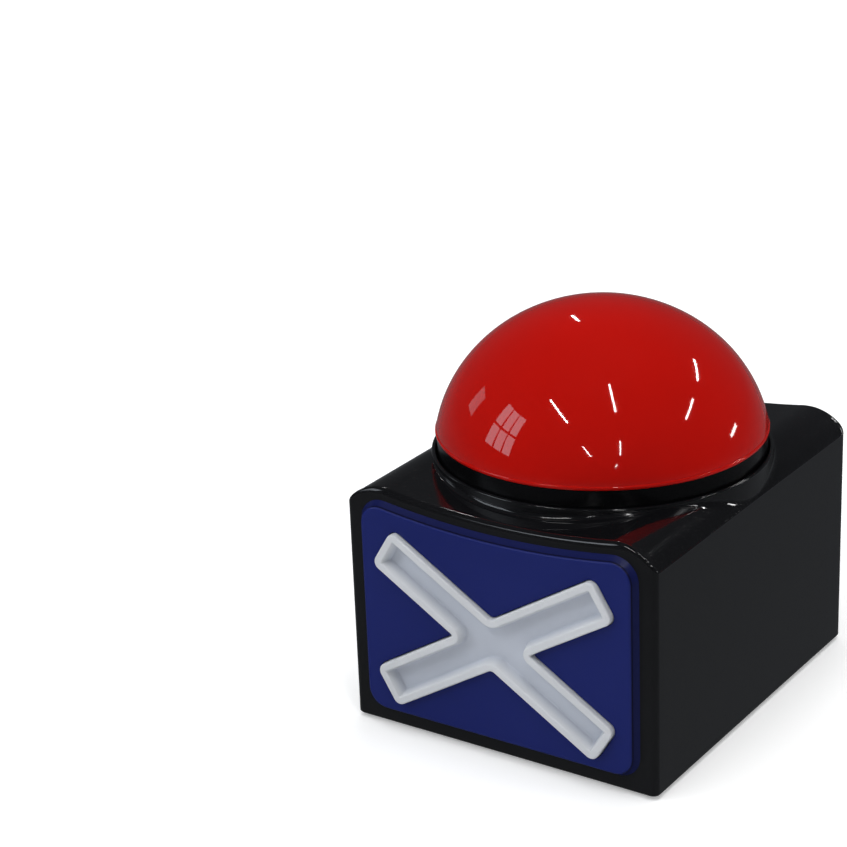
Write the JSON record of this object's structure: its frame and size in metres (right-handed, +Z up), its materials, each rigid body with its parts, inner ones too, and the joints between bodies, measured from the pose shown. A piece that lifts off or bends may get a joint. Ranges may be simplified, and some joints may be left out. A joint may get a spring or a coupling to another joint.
{
  "type": "quiz buzzer",
  "caption": "Tabletop quiz buzzer: black box with a dished top, a big sprung red dome button and a cross-shaped light on its raised front panel.",
  "frame": {"origin": "centre of the object's box on the surface it stands on, under the feet", "axes": "+Z up through the dome, front panel with the cross faces -Y, +X to the right seen from the front"},
  "size_m": [0.1, 0.12, 0.1185],
  "materials": {
    "black_gloss": "moulded plastic, polished top and finely matt sides",
    "blue_panel": "satin moulded plastic",
    "white_lens": "translucent white plastic that spreads the light behind it",
    "red_dome": "polished red plastic, slightly translucent",
    "black_satin": "satin moulded plastic",
    "black_matte": "finely textured moulded plastic",
    "dark_deck": "plain moulded plastic",
    "foot_rubber": "matt rubber",
    "screw_steel": "zinc-plated steel",
    "spring_wire": "bright drawn wire",
    "contact_nickel": "nickel-plated sheet",
    "white_board": "white-coated circuit board",
    "green_board": "green-coated circuit board",
    "led_clear": "clear cast resin",
    "switch_plastic": "moulded plastic",
    "chip_resin": "black cast resin over the chip",
    "capacitor_sleeve": "shrunk plastic sleeve",
    "speaker_steel": "pressed steel",
    "cone_paper": "pressed paper with a cloth edge",
    "magnet_black": "ferrite with a steel cover",
    "cell_sleeve": "plain printed sleeve",
    "switch_case": "folded sheet case",
    "plunger_yellow": "moulded plastic",
    "knob_white": "moulded plastic",
    "wire_sleeve": "soft plastic sleeve",
    "wire_sleeve_black": "soft plastic sleeve"
  },
  "bodies": {
    "body": {"housing": "black_gloss", "front_panel": "blue_panel", "cross_lens": "white_lens", "panel_screws": "screw_steel", "base_plate": "black_matte", "rubber_feet": "foot_rubber", "base_screws": "screw_steel", "button_deck": "dark_deck", "deck_screws": "screw_steel", "return_springs": "spring_wire", "light_board": "white_board", "light_board_leds": "led_clear", "light_board_screws": "screw_steel", "push_switch_body": "switch_plastic", "main_board": "green_board", "sound_chip": "chip_resin", "capacitors": "capacitor_sleeve", "main_board_screws": "screw_steel", "cross_board": "white_board", "cross_board_leds": "led_clear", "cross_board_screws": "screw_steel", "speaker_frame": "speaker_steel", "speaker_cone": "cone_paper", "speaker_magnet": "magnet_black", "speaker_screws": "screw_steel", "battery_cells": "cell_sleeve", "contact_springs": "spring_wire", "contact_plates": "contact_nickel", "power_switch_body": "switch_case", "power_switch_screws": "screw_steel", "battery_leads": "wire_sleeve", "speaker_leads": "wire_sleeve_black", "light_leads": "wire_sleeve", "cross_leads": "wire_sleeve_black", "power_leads": "wire_sleeve"},
    "button": {"dome": "red_dome", "button_carrier": "black_satin", "dome_screws": "screw_steel", "retaining_washers": "contact_nickel", "retaining_screws": "screw_steel"},
    "plunger": {"switch_plunger": "plunger_yellow"},
    "power_knob": {"power_switch_knob": "knob_white"},
    "door": {"battery_door": "black_matte", "door_screws": "screw_steel"}
  },
  "joints": [
    {"name": "button_press", "type": "slide", "parent": "body", "child": "button", "axis": [0, 0, -1], "range_m": [0, 0.004], "stiffness_N_per_m": 400, "springref_m": -0.005, "deforming": ["return_springs"]},
    {"name": "plunger_press", "type": "slide", "parent": "body", "child": "plunger", "axis": [0, 0, -1], "range_m": [0, 0.004]},
    {"name": "power_slide", "type": "slide", "parent": "body", "child": "power_knob", "axis": [0, 1, 0], "range_m": [0, 0.004]},
    {"name": "door_lift", "type": "slide", "parent": "body", "child": "door", "axis": [0, 0, -1], "range_m": [0, 0.03]}
  ],
  "couplings": [
    {"joint": "plunger_press", "follows": "button_press", "ratio": 1}
  ]
}
